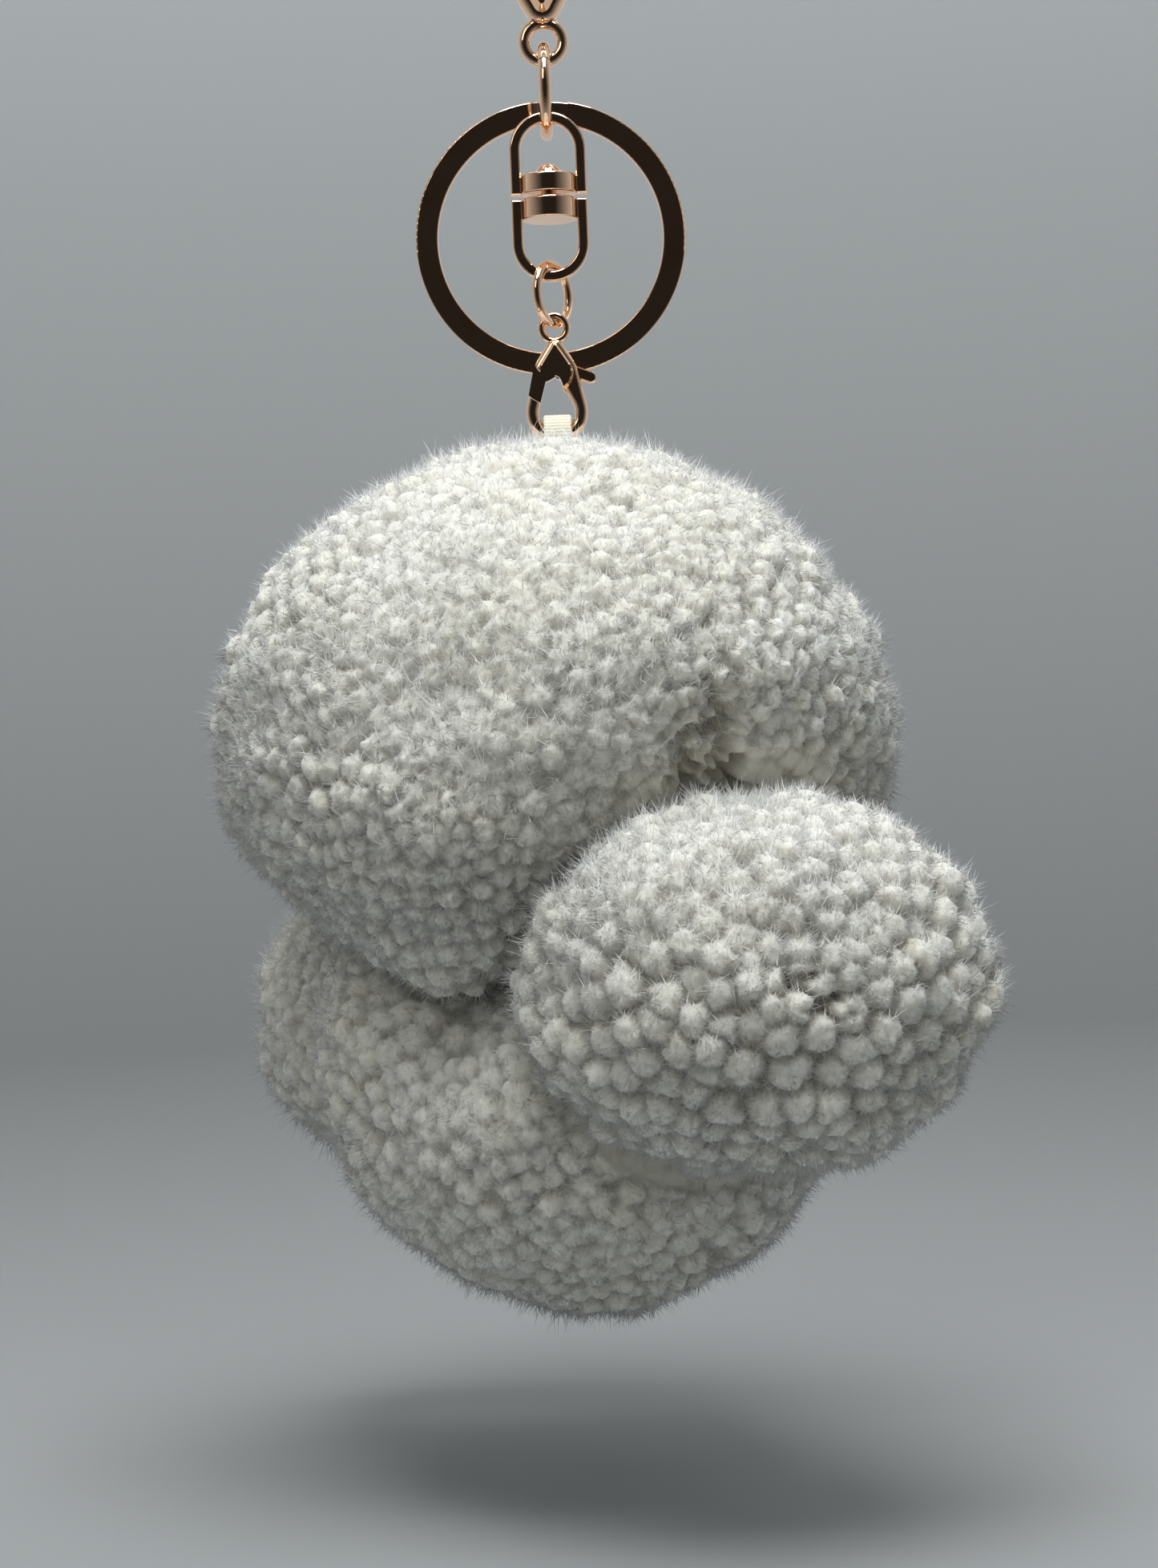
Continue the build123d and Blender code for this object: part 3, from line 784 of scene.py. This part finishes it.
elastic_finish = make_thread(
    "cream_elastic", (0.86, 0.83, 0.70), (0.72, 0.66, 0.48), bands=900, through=0.5)
cord_finish = make_thread(
    "tie_cord_thread", (0.84, 0.83, 0.79), (0.66, 0.64, 0.58), bands=700, through=0.2)
print("finishes:", elastic_finish.name, cord_finish.name)

# %% [markdown]
# ## Which piece gets which finish
# The record says what every CAD piece is made of, so the metal, the springs
# and the cords get their finish by that name rather than one by one. The new
# pieces have no finish yet, and each is given its own.

# %% Put each finish on its pieces
def put_on(piece, material):
    piece.data.materials.clear()
    piece.data.materials.append(material)


slots = {s["node"]: s["material_slot"] for s in frame["record"]["subparts"]}
cad_finishes = {"plated_metal": rose_gold, "spring_wire": steel, "tie_cord": cord_finish}
for node, slot in slots.items():
    if slot in cad_finishes:
        piece = frame["nodes"][node]
        for place in piece.material_slots:
            place.material = cad_finishes[slot]
        if not piece.material_slots:
            piece.data.materials.append(cad_finishes[slot])
for piece in yarn_balls.values():
    put_on(piece, yarn)
for piece in fuzz:
    put_on(piece, fluff)
put_on(elastic, elastic_finish)
print("finished CAD pieces:", sum(slot in cad_finishes for slot in slots.values()))

# %% [markdown]
# ## Ride and replace
# The plush is one body, which swings on the small clasp, so the yarn, the fuzz and the elastic ride on
# it. Each ball of yarn stands for its CAD solid, which is hidden, and the elastic stands for the CAD
# loop in the same way.

# %% Tie the pieces to the frame
for name, piece in yarn_balls.items():
    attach(piece, "plush")
    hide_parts(name + "_pompom")
for piece in fuzz:
    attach(piece, "plush")
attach(elastic, "plush")
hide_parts("hanging_loop")
print("pieces on the plush:", len(yarn_balls) + len(fuzz) + 1)

# %% [markdown]
# ## The studio
# The keychain hangs over a pale floor that sweeps up into a wall all the way
# round, like the inside of a bowl, so there is no corner behind it from any
# side. A profile spun round the upright axis makes it. Reflections don't see
# it, so the metal picks up the lights and the darker room instead, which gives
# polished plate its contrast.

# %% Spin the backdrop
floor_z = -0.18
sweep = 0.34
sweep_steps = 12
wall_radius = 0.95
wall_top = 1.1
inner_floor = 0.3
turns = 96
merge_distance = 0.0005
deselect_all()
bpy.ops.mesh.primitive_circle_add(vertices=3, radius=0.001)
backdrop = bpy.context.active_object
backdrop.name = backdrop.data.name = "backdrop"
profile = [(0, floor_z), (inner_floor, floor_z), (wall_radius - sweep, floor_z)]
for k in range(1, sweep_steps + 1):
    turn = k / sweep_steps * math.pi / 2
    out = wall_radius - sweep + sweep * math.sin(turn)
    profile.append((out, floor_z + sweep - sweep * math.cos(turn)))
profile.append((wall_radius, wall_top))
profile_edges = [(k, k + 1) for k in range(len(profile) - 1)]
backdrop.data.clear_geometry()
backdrop.data.from_pydata([(r, 0, z) for r, z in profile], profile_edges, [])
bpy.ops.object.mode_set(mode="EDIT")
bpy.ops.mesh.select_all(action="SELECT")
bpy.ops.mesh.spin(steps=turns, angle=2 * math.pi, center=(0, 0, 0), axis=(0, 0, 1))
bpy.ops.mesh.select_all(action="SELECT")
bpy.ops.mesh.remove_doubles(threshold=merge_distance)
bpy.ops.mesh.normals_make_consistent(inside=True)
bpy.ops.object.mode_set(mode="OBJECT")
bpy.ops.object.shade_smooth()
backdrop.visible_glossy = False
print("backdrop:", len(backdrop.data.polygons), "faces")

# %% [markdown]
# ## The backdrop's colour
# Matte grey paper is enough here. Its colour is painted darker at the floor than up the wall, as
# painted shade for the light falling off towards the bottom, and the change follows the height in the
# paper itself, so it stays in place from any side.

# %% Give the backdrop its pale grey, with painted shade low down
floor_shade_ends_at = 0.25
paper, nodes, links = new_material("paper_with_painted_floor_shade")
paper_shader = nodes["Principled BSDF"]
set_sockets(paper_shader, {"Roughness": 0.9, "Specular IOR Level": 0.05})
place = nodes.new("ShaderNodeTexCoord")
split = nodes.new("ShaderNodeSeparateXYZ")
links.new(place.outputs["Object"], split.inputs["Vector"])
height = add_node(nodes, "MapRange", {"From Min": floor_z, "From Max": floor_shade_ends_at})
links.new(split.outputs["Z"], height.inputs["Value"])
# Painted shade: the paper's colour runs from dark grey at the floor to pale grey up the wall.
grey = add_ramp(nodes, (0, 0.36, 0.37, 0.375), (1, 0.80, 0.83, 0.84))
links.new(height.outputs["Result"], grey.inputs["Fac"])
links.new(grey.outputs["Color"], paper_shader.inputs["Base Color"])
put_on(backdrop, paper)
print("finish:", paper.name)

# %% [markdown]
# ## Light
# A wide softbox above the plush, and a little in front of it, is the main
# light, so the tops are bright and the undersides fall into soft shade. A
# weaker one at the front left opens the shadows, and one high up lights the
# wall behind.

# %% Hang the lights
def softbox(name, place, aim, size, power, colour=(1, 1, 1)):
    data = bpy.data.lights.new(name, "AREA")
    data.shape = "RECTANGLE"
    data.size, data.size_y = size
    data.energy = power
    data.color = colour
    lamp = bpy.data.objects.new(name, data)
    bpy.context.collection.objects.link(lamp)
    lamp.location = place
    lamp.rotation_mode = "QUATERNION"
    lamp.rotation_quaternion = (Vector(aim) - Vector(place)).to_track_quat("-Z", "Y")
    return lamp


plush_centre = (0, 0, -0.11)
wall_centre = (0, 0.9, 0.1)
cool, warm = (0.94, 0.98, 1), (1, 0.97, 0.92)
lamps = [
    softbox("overhead", (0.01, -0.19, 0.33), plush_centre, (0.28, 0.22), 2.1, cool),
    softbox("front_fill", (-0.45, -0.75, 0.45), plush_centre, (0.4, 0.4), 0.9, warm),
    softbox("wall_wash", (0, 0.1, 0.75), wall_centre, (0.9, 0.3), 1.9),
]
print("lights:", len(lamps))

# %% [markdown]
# ## The room
# What polished metal shows is mostly the room. This one is nearly black in
# front and pale behind, so the plate gets dark streaks between its highlights,
# and the same pale light fills in the plush's shaded side.

# %% Give the room its tone
world = bpy.data.worlds.new("room")
bpy.context.scene.world = world
world.use_nodes = True
nodes, links = world.node_tree.nodes, world.node_tree.links
room = nodes["Background"]
room.inputs["Strength"].default_value = 0.6
aim = nodes.new("ShaderNodeTexCoord")
split = nodes.new("ShaderNodeSeparateXYZ")
links.new(aim.outputs["Generated"], split.inputs["Vector"])
front_to_back = add_node(nodes, "MapRange", {"From Min": -0.9, "From Max": 0.25})
links.new(split.outputs["Y"], front_to_back.inputs["Value"])
tone = add_ramp(nodes, (0, 0.03, 0.028, 0.026), (1, 0.9, 0.9, 0.9))
links.new(front_to_back.outputs["Result"], tone.inputs["Fac"])
links.new(tone.outputs["Color"], room.inputs["Color"])
bpy.context.scene.view_settings.view_transform = "Standard"
print("room set")
